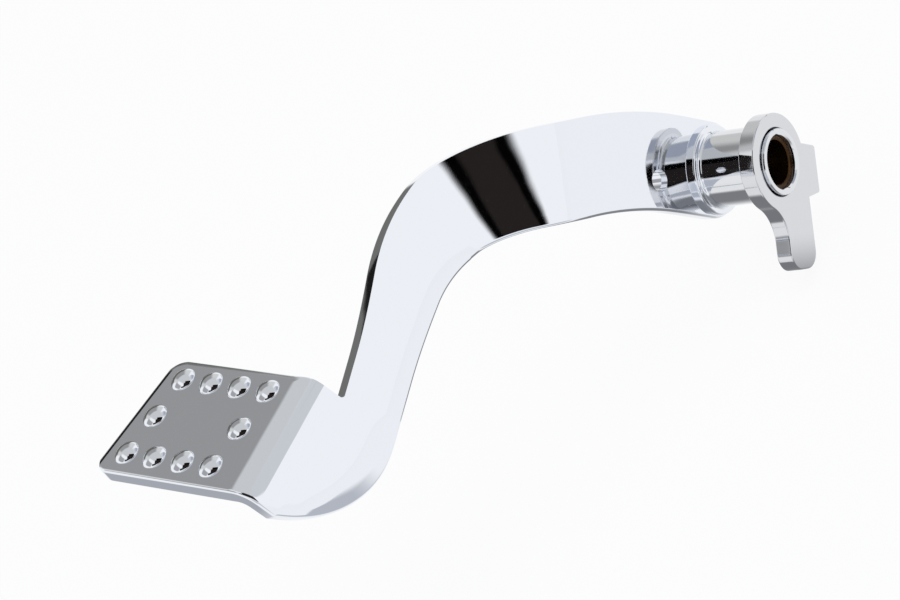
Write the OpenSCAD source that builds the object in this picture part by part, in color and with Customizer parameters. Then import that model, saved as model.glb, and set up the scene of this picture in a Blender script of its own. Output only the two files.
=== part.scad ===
// Rear brake pedal with a forged arm, a pivot tube and a rod lever.
// The origin is on the pivot axis, halfway along the tube.
// X points forward, Y points inboard along the pivot axis and Z points up.

/* [Pivot tube] */
// Outer diameter of the pivot tube
tube_d = 27; // [25:0.5:30]
// Wall between the pivot tube's outside and its bore, which a bushing fills
tube_wall = 3.975; // [3:0.025:5]
// Step from the tube's outside down to the spigot that passes through the lever
spigot_step = 1.7; // [1:0.1:2.5]
// Height of the spigot's end above the lever
spigot_proud = 1.2; // [0.5:0.1:2.5]
// Tube length that shows between the hub and the lever
tube_show = 18.8; // [14:0.2:30]
// Height of the tube's outboard end above the arm's outboard face
tube_tail = 2.5; // [1:0.5:8]
// Size of the weld bead between the tube and the lever
bead = 1.8; // [1:0.1:2.5]
// Chamfer at the ends of the bore
bore_chamfer = 0.6; // [0.3:0.1:1]

/* [Bushings] */
// Wall of a bushing, whose bore runs on the pivot shaft
bush_wall = 1.575; // [1.2:0.025:2]
// Length of a bushing
bush_l = 16; // [10:0.5:18]
// Depth of a bushing below the end of the tube
bush_recess = 2; // [1:0.1:3]

/* [Rod lever] */
// Thickness of the lever plate
lever_t = 6.2; // [5:0.1:8]
// Width of the lever's eye around the spigot
eye_wall = 5.6; // [4.5:0.1:8]
// Turn of the lever's finger forward from straight down
lever_turn = 45; // [30:1:60]
// Distance from the pivot axis to the finger's end
finger_reach = 38.6; // [34:0.1:46]
// Width of the finger
finger_w = 17.1; // [14:0.1:20]
// Offset of the finger's middle behind the pivot axis
finger_offset = 9.35; // [6:0.05:11]
// Radius of the finger's end corners
finger_r = 6.4; // [2:0.1:8]
// Radius between the finger's front side and the eye
finger_fillet = 14; // [8:0.5:18]
// Distance from the pivot axis to the lug's rear face
lug_reach = 25.4; // [22:0.2:30]
// Height of the lug's rear face
lug_h = 16.9; // [12:0.1:20]
// Height of the lug's top above the pivot axis, square to its reach
lug_top = 4.4; // [2:0.1:7]
// Slope of the lug's top and bottom towards the eye
lug_slope = 9; // [4:1:20]

/* [Arm] */
// Thickness of the forged plate
plate_t = 6.4; // [5:0.1:8]
// Radius that breaks the plate's edges
edge_r = 1.3; // [0.8:0.1:2]
// Width of the round hub around the tube, on the plate's rounded end
hub_wall = 2.7; // [3:0.1:7]
// Height of the hub above the inboard face of the plate
hub_boss = 2.1; // [0.5:0.1:3]
// Radius that breaks the hub's edge
hub_round = 0.8; // [0.3:0.1:1.2]
// Radius of the fillet between the hub and the tube
hub_fillet = 1.3; // [0.5:0.1:2]
// Width of the bar that climbs from the hub
arm_w = 34.4; // [30:0.1:36]
// Width of the bar behind the foot pad
neck_w = 22.7; // [20:0.1:30]
// Angle at which the bar climbs from the pivot
climb = 54.4; // [45:0.1:60]
// Length of the straight climb, from the pivot to the sweep
climb_l = 25; // [15:0.5:40]
// Radius of the gentle sweep on the centre line
sweep_r = 188; // [120:1:240]
// Angle that the sweep turns through
sweep_turn = 19; // [10:0.5:28]
// Radius of the knee on the centre line
knee_r = 68; // [45:1:80]
// Fall of the bar ahead of the knee, below level
dip = 11.8; // [5:0.1:16]
// Length of the straight fall, from the knee to the inner corner
level_l = 46; // [35:0.5:60]
// Length along the bar at which it starts to narrow
narrow_from = 82; // [60:1:100]
// Length along the bar at which it has the width behind the foot pad
narrow_to = 175; // [140:1:180]
// Length along the bar at which it starts to step outboard
step_from = 58; // [50:1:66]
// Length along the bar at which the step ends
step_to = 107; // [100:1:125]
// Distance from the hub's face to the bar's inboard face after the step, at the inner corner
step_out = 48; // [42:0.5:60]
// Lean of the front part of the bar away from upright
lean = 22; // [15:1:32]
// Radius of the inner corner between bar and pad
inner_r = 1.2; // [0.8:0.1:5]
// Power by which the bar widens round the inner corner
fan_power = 1.6; // [1.2:0.1:2]
// Width of the broad bevel along the lower edge at the front
bevel_w = 6; // [2:0.5:8]
// Depth of the broad bevel
bevel_d = 1.8; // [0.5:0.1:2.2]

/* [Foot pad] */
// Width of the pad, fore and aft
pad_w = 48.6; // [42:0.1:56]
// Length of the pad along its rear edge, outboard of the bend
pad_l = 57; // [48:0.5:70]
// Turn of the bend line about the upright axis
bend_turn = 7; // [0:0.5:12]
// Turn of the pad's side edges about the upright axis
pad_turn = 12.3; // [0:0.1:18]
// Angle between the bend line and the pad's outboard end
pad_rake = 11.5; // [0:0.5:20]
// Radius of the pad's corners
pad_corner = 7; // [4:0.5:12]
// Outer radius of the bend between bar and pad
bend_r = 11; // [7.5:0.5:16]
// Height of the straight run between the corner and the bend
web = 5.4; // [1:0.1:12]

/* [Studs] */
// Diameter of a stud on the pad
stud_d = 8.8; // [6:0.1:10]
// Height of a stud's dome
stud_h = 2.5; // [1:0.1:3.5]
// Studs in each long row
stud_cols = 4; // [3:1:5]
// Distance from the pad's side edges to the outer rows
stud_side = 8.4; // [6:0.1:12]
// Distance from the pad's outboard end to the first studs
stud_end = 11; // [7:0.5:16]
// Distance between studs in a long row
stud_pitch = 13.7; // [11:0.1:16]

/* [Holes] */
// Diameter of the hole in the bar near the hub
link_hole_d = 8; // [6:0.1:10]
// Distance from the pivot axis to that hole, along the climb
link_hole_reach = 33.2; // [30:0.1:42]
// Offset of that hole below the bar's centre line
link_hole_drop = 6.9; // [0:0.1:9]

/* [Hidden] */
eps = 0.01;
// Diameters from the tube outward and inward
tube_bore_d = tube_d - 2 * tube_wall;
bush_bore_d = tube_bore_d - 2 * bush_wall;
spigot_d = tube_d - 2 * spigot_step;
eye_d = spigot_d + 2 * eye_wall;
hub_d = tube_d + 2 * hub_wall;
// Faces along the pivot axis, counted outboard from the tube's inboard end
tube_l = spigot_proud + lever_t + tube_show + hub_boss + plate_t + tube_tail;
tube_in_y = tube_l / 2;
lever_face_y = tube_in_y - spigot_proud;
lever_back_y = lever_face_y - lever_t;
hub_face_y = lever_back_y - tube_show;
plate_y = hub_face_y - hub_boss;
plate_back_y = plate_y - plate_t;
tube_end_y = plate_back_y - tube_tail;
// Side view of the bar's centre line: climb, gentle sweep, knee and fall
knee_heading = climb - sweep_turn;
s_knee = climb_l + sweep_r * sweep_turn * PI / 180;
s_level = s_knee + knee_r * (knee_heading + dip) * PI / 180;
s_end = s_level + level_l;
sweep_centre = climb_l * forward(climb) - sweep_r * upward(climb);
knee_centre = sweep_centre + (sweep_r - knee_r) * upward(knee_heading);
level_start = knee_centre + knee_r * upward(-dip);
bar_end = level_start + level_l * forward(-dip);
// Unit vectors of the leaning plane and of the pad
along = [cos(bend_turn), -sin(bend_turn), 0];
rising = [-sin(bend_turn) * sin(lean), -cos(bend_turn) * sin(lean), cos(lean)];
facing = [sin(bend_turn) * cos(lean), cos(bend_turn) * cos(lean), sin(lean)];
outward = [-sin(pad_turn), -cos(pad_turn), 0];
inner_corner = bar_end + neck_w / 2 * cos(lean) * upward(-dip);
corner_y = plate_y - step_out;
// The fan that turns the bar upward about the inner corner
fan_centre = inner_corner + inner_r * upward(-dip);
pad_skew = pad_turn - bend_turn;
pad_span = pad_w / cos(pad_skew);
fan_end_w = pad_span * cos(bend_turn);
// The pad is level, and its rear edge starts here
bend_foot = leaning(fan_centre[0] + inner_r, fan_centre[1] + web);
bend_hub = bend_foot - bend_r * facing;
pad_start = bend_hub + bend_r * [0, 0, 1];
pad_extra = pad_span * sin(pad_rake) / cos(pad_rake - pad_skew);
stud_sphere_r = (pow(stud_d / 2, 2) + pow(stud_h, 2)) / (2 * stud_h);
facets = 96;

// Smooth step from 0 to 1 between two lengths
function ease(s, a, b) = let (u = min(1, max(0, (s - a) / (b - a)))) u * u * (3 - 2 * u);
function unit(v) = v / norm(v);
// Unit vectors along and square to a heading, in the side view
function forward(h) = [cos(h), sin(h)];
function upward(h) = [-sin(h), cos(h)];
function blend(a, b, t) = a + (b - a) * t;

// A point of the leaning plane from its place in the side view
function leaning(x, z) =
    let (
        rise = (z - inner_corner[1]) / cos(lean),
        run = (x - inner_corner[0] + rise * sin(bend_turn) * sin(lean)) / cos(bend_turn)
    )
    [x, corner_y - run * sin(bend_turn) - rise * cos(bend_turn) * sin(lean), z];

// A point of the inboard face, part of the way from the hub's plane to the leaning plane
function face_point(xz, t) = [xz[0], blend(plate_y, leaning(xz[0], xz[1])[1], t), xz[1]];

// Heading and place of the centre line at a length from the pivot
function heading(s) =
    s < climb_l ? climb
    : s < s_knee ? climb - (s - climb_l) / sweep_r * 180 / PI
    : s < s_level ? knee_heading - (s - s_knee) / knee_r * 180 / PI
    : -dip;
function centre(s) =
    s < climb_l ? s * forward(climb)
    : s < s_knee ? sweep_centre + sweep_r * upward(heading(s))
    : s < s_level ? knee_centre + knee_r * upward(heading(s))
    : level_start + (s - s_level) * forward(-dip);

// Half of the bar's width as the side view shows it
function half_w(s) = blend(arm_w, neck_w * cos(lean), ease(s, narrow_from, narrow_to)) / 2;

// Each station is a pair of edge points and the width of its bevel
function bar_station(s) =
    let (
        side = half_w(s) * upward(heading(s)),
        t = ease(s, step_from, step_to)
    )
    [face_point(centre(s) + side, t), face_point(centre(s) - side, t),
     blend(edge_r, bevel_w * 0.6, ease(s, s_knee, s_level)), 0];

function fan_station(u) =
    let (
        a = blend(-dip, 90, u),
        growth = pow(u, fan_power),
        w = blend(neck_w * cos(lean), fan_end_w, growth),
        spoke = [sin(a), -cos(a)],
        inner = fan_centre + inner_r * spoke,
        outer = fan_centre + (inner_r + w) * spoke
    )
    [leaning(inner[0], inner[1]), leaning(outer[0], outer[1]), bevel_w * (0.6 + 0.4 * sin(180 * u)), 0];

function bend_station(u) =
    let (a = u * (90 - lean), p = bend_hub + bend_r * (cos(a) * facing + sin(a) * rising))
    [p, p + pad_span * along, blend(bevel_w * 0.6, edge_r, ease(u, -0.6, 1)), 0];

// The end of the pad draws in round its corners and over its edge
function pad_station(back, slim) =
    let (
        inset = back < pad_corner ? pad_corner - sqrt(pow(pad_corner, 2) - pow(pad_corner - back, 2)) : 0,
        rear = pad_start + (pad_l - back) * outward,
        front = pad_start + pad_span * along + (pad_l + pad_extra - back) * outward,
        across = unit(front - rear)
    )
    [rear + across * inset, front - across * inset, edge_r, slim];

stations = concat(
    [for (i = [0 : 47]) bar_station(s_end * i / 47)],
    [for (i = [1 : 18]) fan_station(i / 18)],
    [for (i = [0 : 8]) bend_station(i / 8)],
    [for (b = [pad_l * 0.7, pad_l * 0.4, pad_corner]) pad_station(b, 0)],
    [for (a = [15 : 15 : 60]) pad_station(pad_corner * (1 - sin(a)), 0)],
    [for (a = [0 : 30 : 90]) pad_station(edge_r * (1 - sin(a)), edge_r * (1 - cos(a)))]
);
last = len(stations) - 1;

// Direction of travel at a station, from its neighbours
function middle(i) = (stations[i][0] + stations[i][1]) / 2;
function travel(i) = unit(middle(min(last, i + 1)) - middle(max(0, i - 1)));
function across_at(i) = unit(stations[i][1] - stations[i][0]);
function normal_at(i) =
    i > last - 11 ? [0, 0, 1] : unit(cross(travel(i), across_at(i)));

// Outline of the plate's section: distance from the rear edge and depth under the face
function section(w, bevel, slim) = concat(
    [for (a = [0 : 30 : 90]) [edge_r * (1 - cos(a)), max(slim, edge_r * (1 - sin(a)))]],
    [[w - bevel, slim],
     [w - bevel * 0.55, max(slim, bevel_depth(bevel) * 0.22)],
     [w - bevel * 0.2, max(slim, bevel_depth(bevel) * 0.6)],
     [w, max(slim, bevel_depth(bevel))]],
    [for (a = [0 : 30 : 90]) [w - edge_r * (1 - cos(a)), plate_t - max(slim, edge_r * (1 - sin(a)))]],
    [for (a = [90 : -30 : 0]) [edge_r * (1 - cos(a)), plate_t - max(slim, edge_r * (1 - sin(a)))]]
);
function bevel_depth(bevel) = blend(edge_r, bevel_d, ease(bevel, edge_r, bevel_w));

function ring(i) =
    let (
        rear = stations[i][0],
        b = across_at(i),
        n = normal_at(i),
        w = norm(stations[i][1] - rear)
    )
    [for (q = section(w, stations[i][2], stations[i][3])) rear + b * q[0] - n * q[1]];

// A closed skin through rings of points with the same count
module skin(rings) {
    m = len(rings[0]);
    n = len(rings);
    points = [for (r = rings) each r];
    sides = [for (i = [0 : n - 2]) for (j = [0 : m - 1])
        let (k = (j + 1) % m)
        each [[i * m + j, i * m + k, (i + 1) * m + j], [i * m + k, (i + 1) * m + k, (i + 1) * m + j]]];
    caps = [[for (j = [m - 1 : -1 : 0]) j], [for (j = [0 : m - 1]) (n - 1) * m + j]];
    polyhedron(points, concat(sides, caps), convexity = 10);
}

// A cylinder along the pivot axis between two places on it
module along_pivot(from_y, to_y, d) {
    translate([0, from_y, 0]) rotate([-90, 0, 0]) cylinder(d = d, h = to_y - from_y, $fn = facets);
}

// A ring turned about the pivot axis from a profile of radius and height
module turned(from_y) {
    translate([0, from_y, 0]) rotate([-90, 0, 0]) rotate_extrude($fn = facets) children();
}

module stud(p) {
    translate(p)
        intersection() {
            translate([0, 0, stud_h - stud_sphere_r]) sphere(r = stud_sphere_r, $fn = 48);
            translate([0, 0, -0.8]) cylinder(d = stud_d + 1, h = stud_h + 2, $fn = 48);
        }
}

// A place on the pad: distance from its outboard end and from its rear edge
function on_pad(back, side) =
    pad_start + side / pad_w * pad_span * along + (pad_l + side / pad_w * pad_extra - back) * outward;

// Both long rows are full, and the middle row has only its two end studs
module studs() {
    for (c = [0 : stud_cols - 1]) {
        stud(on_pad(stud_end + c * stud_pitch, stud_side));
        stud(on_pad(stud_end + c * stud_pitch, pad_w - stud_side));
    }
    for (c = [0, stud_cols - 1])
        stud(on_pad(stud_end + c * stud_pitch, pad_w / 2));
}

// A flat disc about the pivot axis whose edge is rounded, as a profile to turn
module disc_profile(d, h, r, low) {
    square([d / 2 - r, h]);
    translate([0, low]) square([d / 2, h - r - low]);
    for (z = [low, h - r])
        translate([d / 2 - r, z]) circle(r = r, $fn = 12);
}

// The plate's rounded end, with the hub on it and a fillet up to the tube
module hub() {
    turned(plate_back_y) disc_profile(arm_w, plate_t, edge_r, edge_r);
    turned(plate_y - hub_round) disc_profile(hub_d, hub_boss + hub_round, hub_round, 0);
    turned(hub_face_y - eps)
        difference() {
            translate([tube_d / 2 - eps, 0]) square([hub_fillet + eps, hub_fillet + eps]);
            translate([tube_d / 2 + hub_fillet, hub_fillet + eps]) circle(r = hub_fillet, $fn = facets);
        }
}

module link_hole() {
    spot = link_hole_reach * forward(climb) - link_hole_drop * upward(climb);
    translate([spot[0], 0, spot[1]]) along_pivot(plate_back_y - 5, plate_y + 5, link_hole_d);
}

module pedal_arm() {
    color([0.90, 0.91, 0.93])
    difference() {
        union() {
            skin([for (i = [0 : last]) ring(i)]);
            hub();
            studs();
        }
        along_pivot(plate_back_y - 20, hub_face_y + 20, tube_d);
        link_hole();
    }
}

module pivot_tube() {
    color([0.82, 0.83, 0.86])
    difference() {
        union() {
            along_pivot(tube_end_y, lever_back_y, tube_d);
            along_pivot(lever_back_y - 1, tube_in_y, spigot_d);
            turned(lever_back_y - bead)
                polygon([[tube_d / 2 - 1, 0], [tube_d / 2, 0], [tube_d / 2 + bead, bead], [tube_d / 2 - 1, bead]]);
        }
        along_pivot(tube_end_y - 1, tube_in_y + 1, tube_bore_d);
        bore_mouth(tube_in_y, -1);
        bore_mouth(tube_end_y, 1);
    }
}

// Chamfer at one end of the tube's bore
module bore_mouth(y, way) {
    r = tube_bore_d / 2;
    c = bore_chamfer;
    turned(y)
        polygon([[0, way * (c + 0.5)], [r - 0.5, way * (c + 0.5)], [r + c + 0.5, -way * 0.5], [0, -way * 0.5]]);
}

module lever_outline() {
    eye_r = eye_d / 2;
    rear = -finger_offset - finger_w / 2;
    front = -finger_offset + finger_w / 2;
    end_z = finger_r - finger_reach;
    lug_foot = lug_top - lug_h;
    lug_in = (lug_reach - finger_offset) * tan(lug_slope);
    // Centre of the fillet that touches the finger's front side and the eye
    swing = eye_r + finger_fillet;
    fillet_x = front + finger_fillet;
    fillet_z = -sqrt(pow(swing, 2) - pow(fillet_x, 2));
    difference() {
        union() {
            circle(d = eye_d, $fn = facets);
            translate([rear + finger_r, end_z]) circle(r = finger_r, $fn = facets);
            translate([front - finger_r, end_z]) circle(r = finger_r, $fn = facets);
            translate([rear + finger_r, -finger_reach]) square([finger_w - 2 * finger_r, finger_r]);
            translate([rear, end_z]) square([finger_w, fillet_z + 1 - end_z]);
            polygon([[rear, fillet_z + 1], [front, fillet_z], [fillet_x, fillet_z],
                [fillet_x * eye_r / swing, fillet_z * eye_r / swing], [0, 0], [rear, lug_foot]]);
            polygon([[-finger_offset, lug_top + lug_in], [-lug_reach, lug_top],
                [-lug_reach, lug_foot], [rear, lug_foot - lug_in], [-finger_offset, lug_foot - lug_in]]);
        }
        circle(d = spigot_d, $fn = facets);
        translate([fillet_x, fillet_z]) circle(r = finger_fillet, $fn = facets);
    }
}

module rod_lever() {
    color([0.78, 0.79, 0.82])
    translate([0, lever_face_y, 0]) rotate([90, 0, 0]) linear_extrude(lever_t) rotate(lever_turn) lever_outline();
}

module bushing(from_y) {
    difference() {
        along_pivot(from_y, from_y + bush_l, tube_bore_d);
        along_pivot(from_y - 1, from_y + bush_l + 1, bush_bore_d);
    }
}

module inboard_bushing() {
    color([0.55, 0.40, 0.22]) bushing(tube_in_y - bush_recess - bush_l);
}

module outboard_bushing() {
    color([0.55, 0.40, 0.22]) bushing(tube_end_y + bush_recess);
}

pedal_arm();
pivot_tube();
rod_lever();
inboard_bushing();
outboard_bushing();
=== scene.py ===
"""Chromed rear brake pedal: a forged arm with a studded pad, its pivot tube, rod lever and bushings."""

import logging
from dataclasses import dataclass
from enum import Enum
from math import atan2, cos, degrees, pi, radians, sin, sqrt, tan, tau
from typing import Iterable, Sequence

import bmesh
import bpy
from bpy.types import Material, Mesh, Node, NodeSocket, NodeTree, Object
from mathutils import Matrix, Vector


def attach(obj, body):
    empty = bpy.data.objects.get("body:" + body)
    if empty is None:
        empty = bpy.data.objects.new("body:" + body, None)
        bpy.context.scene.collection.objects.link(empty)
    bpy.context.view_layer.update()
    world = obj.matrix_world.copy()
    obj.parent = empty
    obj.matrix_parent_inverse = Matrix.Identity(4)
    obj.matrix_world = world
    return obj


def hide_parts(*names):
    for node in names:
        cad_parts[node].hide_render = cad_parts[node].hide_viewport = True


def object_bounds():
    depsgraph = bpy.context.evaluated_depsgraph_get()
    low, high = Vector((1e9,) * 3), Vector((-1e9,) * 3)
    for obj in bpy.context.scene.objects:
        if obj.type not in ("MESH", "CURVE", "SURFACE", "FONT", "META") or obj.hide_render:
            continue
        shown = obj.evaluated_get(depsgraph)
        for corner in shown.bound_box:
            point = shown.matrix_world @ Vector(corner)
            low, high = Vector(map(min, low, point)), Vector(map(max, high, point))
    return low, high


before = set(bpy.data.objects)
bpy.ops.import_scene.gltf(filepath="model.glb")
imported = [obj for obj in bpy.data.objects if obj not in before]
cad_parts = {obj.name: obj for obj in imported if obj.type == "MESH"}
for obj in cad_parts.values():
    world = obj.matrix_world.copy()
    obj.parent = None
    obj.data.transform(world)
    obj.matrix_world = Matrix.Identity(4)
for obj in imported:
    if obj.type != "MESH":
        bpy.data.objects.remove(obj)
CAD_LOW, CAD_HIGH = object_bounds()
LOG = logging.getLogger("brake_pedal")
MM = 0.001
# Share of an edge's radius that soft_corners takes from each side to look like that radius
CUT_PER_RADIUS = 1.6
# A conic of this weight is near a circle's quarter, where a plain parabola leaves the corner too sharp
CONIC_WEIGHT = 0.75
# A corner never takes as much as half of a side
SIDE_SHARE = 0.49
QUARTER = pi / 2
Point2 = tuple[float, float]
Point3 = tuple[float, float, float]


class Slot(str, Enum):
    """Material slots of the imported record."""

    ARM = "arm_chrome"
    TUBE = "tube_chrome"
    LEVER = "lever_chrome"
    BRONZE = "bronze"


def linear_colour(hex_code: str) -> tuple[float, float, float, float]:
    """Turns an sRGB hex colour to linear.

    Args:
        hex_code: Six hex digits after a hash sign.

    Returns:
        Red, green, blue and alpha for a shader's socket.
    """
    parts = [int(hex_code[i : i + 2], 16) / 255 for i in (1, 3, 5)]
    lin = [c / 12.92 if c <= 0.04045 else ((c + 0.055) / 1.055) ** 2.4 for c in parts]
    return (lin[0], lin[1], lin[2], 1.0)


def add_node(tree: NodeTree, kind: str, links: dict | None = None, **settings: object) -> Node:
    """Adds one node with its settings, values and links.

    Args:
        tree: The node tree.
        kind: The node's type name.
        links: Input name or index to a value, or to the node or output socket that feeds it.
        settings: Properties of the node itself.

    Returns:
        The new node.
    """
    node = tree.nodes.new(kind)
    for name, value in settings.items():
        setattr(node, name, value)
    for name, value in (links or {}).items():
        socket = node.inputs[name]
        if isinstance(value, Node):
            value = value.outputs[0]
        if isinstance(value, NodeSocket):
            tree.links.new(value, socket)
        else:
            socket.default_value = value
    return node


def maths(tree: NodeTree, operation: str, a: object, b: object = 0.0) -> Node:
    """Adds one maths node.

    Args:
        tree: The node tree.
        operation: What the node works out.
        a: First value or socket.
        b: Second value or socket.

    Returns:
        The node.
    """
    return add_node(tree, "ShaderNodeMath", {0: a, 1: b}, operation=operation)


def seen_directly(tree: NodeTree) -> Node:
    """Tells the rays that show a surface from those that it only lights.

    Args:
        tree: The node tree.

    Returns:
        A node that gives 1 for camera, glossy and transmission rays.
    """
    ray = add_node(tree, "ShaderNodeLightPath").outputs
    shown = maths(tree, "MAXIMUM", ray["Is Camera Ray"], ray["Is Glossy Ray"])
    return maths(tree, "MAXIMUM", shown, ray["Is Transmission Ray"])


def blank_material(name: str) -> tuple[Material, NodeTree]:
    """Makes a material whose node tree is still empty.

    Args:
        name: The material's name.

    Returns:
        The material and its node tree.
    """
    mat = bpy.data.materials.new(name)
    mat.use_nodes = True
    mat.node_tree.nodes.clear()
    return mat, mat.node_tree


def placed(name: str, data: bpy.types.ID) -> Object:
    """Puts a mesh, curve, camera or light into the scene.

    Args:
        name: The object's name.
        data: What it shows.

    Returns:
        The linked object.
    """
    item = bpy.data.objects.new(name, data)
    bpy.context.scene.collection.objects.link(item)
    return item


def applied(item: Object) -> Mesh:
    """Works out an object's mesh with its modifiers or curve settings.

    Args:
        item: The object.

    Returns:
        The new mesh.
    """
    graph = bpy.context.evaluated_depsgraph_get()
    return bpy.data.meshes.new_from_object(item.evaluated_get(graph))


def mesh_of(bm: bmesh.types.BMesh, name: str) -> Mesh:
    """Stores a working mesh and frees it.

    Args:
        bm: The working mesh.
        name: Its stored name.

    Returns:
        The stored mesh.
    """
    mesh = bpy.data.meshes.new(name)
    bm.to_mesh(mesh)
    bm.free()
    return mesh


@dataclass(frozen=True)
class PlatedFinish:
    """Chromium plate on polished steel: a neutral mirror with the faint waves that the buffing wheel leaves.

    Spacings and the waves' depth are in millimetres.
    """

    name: str
    tint: str
    haze: float
    wave_mm: float
    wave_depth: float
    smear_mm: float = 7.143
    hair_mm: float = 0.3846
    scratch_depth: float = 0.015

    def build(self) -> Material:
        """Makes the material.

        Returns:
            The finished material.
        """
        mat, tree = blank_material(self.name)
        at = add_node(tree, "ShaderNodeTexCoord").outputs["Object"]
        # The wheel leaves long soft waves, the cloth smears of some millimetres, and the polish hairlines
        kinds = ((self.wave_mm, 1.0, 0.5), (self.smear_mm, 3.0, 0.6), (self.hair_mm, 2.0, 0.5))
        waves, smear, hair = (
            add_node(tree, "ShaderNodeTexNoise", {
                "Vector": at, "Scale": 1 / (size * MM), "Detail": detail, "Roughness": rough})
            for size, detail, rough in kinds)
        haze = add_node(tree, "ShaderNodeMapRange", {
            "Value": smear, "From Min": 0.3, "From Max": 0.7,
            "To Min": self.haze * 0.6, "To Max": self.haze * 1.5})
        fine = add_node(tree, "ShaderNodeBump", {
            "Height": hair, "Strength": self.scratch_depth, "Distance": 0.1 * MM})
        soft = add_node(tree, "ShaderNodeBump", {
            "Height": waves, "Strength": 1.0, "Distance": self.wave_depth * MM, "Normal": fine})
        shade = add_node(tree, "ShaderNodeBsdfPrincipled", {
            "Base Color": linear_colour(self.tint), "Metallic": 1.0, "Roughness": haze, "Normal": soft})
        add_node(tree, "ShaderNodeOutputMaterial", {"Surface": shade})
        return mat


@dataclass(frozen=True)
class OiledBronzeFinish:
    """Sintered bearing bronze, bored and soaked in oil: dark brown, with turned rings and a dull gloss.

    Spacings and depths are in millimetres. Real pores are near 0.05 mm, and are coarser here so that they show.
    """

    name: str = "oiled_bearing_bronze"
    light: str = "#5B4128"
    dark: str = "#2A1C10"
    pore_mm: float = 0.35
    pore_depth: float = 0.08
    stain_mm: float = 4.545
    ring_mm: float = 1.208
    ring_depth: float = 0.05

    def build(self) -> Material:
        """Makes the material.

        Returns:
            The finished material.
        """
        mat, tree = blank_material(self.name)
        at = add_node(tree, "ShaderNodeTexCoord").outputs["Object"]
        pores, stain = (
            add_node(tree, "ShaderNodeTexNoise", {"Vector": at, "Scale": 1 / (size * MM), "Detail": detail})
            for size, detail in ((self.pore_mm, 3.0), (self.stain_mm, 2.0)))
        # A wave texture passes 20 bands while its scaled place runs through a full turn
        turned = add_node(tree, "ShaderNodeTexWave", {
            "Vector": at, "Scale": tau / 20 / (self.ring_mm * MM), "Distortion": 0.6}, bands_direction="Y")
        tone = add_node(tree, "ShaderNodeMix", {
            0: stain, 6: linear_colour(self.dark), 7: linear_colour(self.light)}, data_type="RGBA")
        rings = add_node(tree, "ShaderNodeBump", {
            "Height": turned.outputs[1], "Strength": 0.25, "Distance": self.ring_depth * MM})
        pits = add_node(tree, "ShaderNodeBump", {
            "Height": pores, "Strength": 0.35, "Distance": self.pore_depth * MM, "Normal": rings})
        gloss = add_node(tree, "ShaderNodeMapRange", {"Value": pores, "To Min": 0.3, "To Max": 0.55})
        shade = add_node(tree, "ShaderNodeBsdfPrincipled", {
            "Base Color": tone.outputs[2], "Metallic": 1.0, "Roughness": gloss, "Normal": pits})
        add_node(tree, "ShaderNodeOutputMaterial", {"Surface": shade})
        return mat


# Heavy bright plate on the forging, and a slightly greyer plate on the turned and stamped steel
FORGED_CHROME = PlatedFinish("forged_chrome", "#ECEFF5", 0.035, 16.0, 0.1)
TURNED_CHROME = PlatedFinish("turned_chrome", "#E0E2E6", 0.05, 15.0, 0.02)
STAMPED_CHROME = PlatedFinish("stamped_chrome", "#D9DADE", 0.07, 16.0, 0.06)
BEARING_BRONZE = OiledBronzeFinish()


def ease(s: float, start: float, end: float) -> float:
    """Smooth step from 0 to 1 between two lengths.

    Args:
        s: The place.
        start: Where the step begins.
        end: Where it ends.

    Returns:
        The share of the step that is done.
    """
    u = min(1.0, max(0.0, (s - start) / (end - start)))
    return u * u * (3 - 2 * u)


def mix(a: float, b: float, t: float) -> float:
    """Straight blend between two numbers.

    Args:
        a: The number at t = 0.
        b: The number at t = 1.
        t: The share.

    Returns:
        The blend.
    """
    return a + (b - a) * t


def forward(heading: float) -> Vector:
    """Unit vector along a heading in the side view.

    Args:
        heading: In degrees.

    Returns:
        The vector.
    """
    return Vector((cos(radians(heading)), sin(radians(heading))))


def upward(heading: float) -> Vector:
    """Unit vector square to a heading in the side view.

    Args:
        heading: In degrees.

    Returns:
        The vector.
    """
    return Vector((-sin(radians(heading)), cos(radians(heading))))


def arc(x: float, y: float, r: float, start: float, end: float, steps: int) -> list[Point2]:
    """Points along an arc.

    Args:
        x: First coordinate of its centre.
        y: Second coordinate of its centre.
        r: Radius.
        start: First angle, in radians.
        end: Last angle, in radians.
        steps: Number of segments.

    Returns:
        The points, with both ends.
    """
    turns = (mix(start, end, k / steps) for k in range(steps + 1))
    return [(x + r * cos(a), y + r * sin(a)) for a in turns]


def drawn_in(r: float, back: float) -> float:
    """Depth by which a rounded end falls back from its tangent.

    Args:
        r: Radius of the rounding.
        back: Distance from the end.

    Returns:
        The depth, which is 0 from the radius onwards.
    """
    return r - sqrt(r**2 - (r - back) ** 2) if back < r else 0.0


def soft_corners(corners: Sequence[Point3], steps: int) -> list[Point2]:
    """Rounds each corner of a closed outline.

    Args:
        corners: Across, depth and the length that the rounding takes from each side.
        steps: Number of segments to a corner.

    Returns:
        The points of the rounded outline, steps + 1 to a corner, and one where nothing is cut.
    """
    out: list[Point2] = []
    count = len(corners)
    for i, (x, z, cut) in enumerate(corners):
        if cut == 0:
            out.append((x, z))
            continue
        here = Vector((x, z))
        before = Vector(corners[i - 1][:2]) - here
        after = Vector(corners[(i + 1) % count][:2]) - here
        a = here + before.normalized() * min(cut, before.length * SIDE_SHARE)
        b = here + after.normalized() * min(cut, after.length * SIDE_SHARE)
        for k in range(steps + 1):
            t = k / steps
            down, mid, up = (1 - t) ** 2, 2 * t * (1 - t) * CONIC_WEIGHT, t * t
            p = (a * down + here * mid + b * up) / (down + mid + up)
            out.append((p.x, p.y))
    return out


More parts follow.
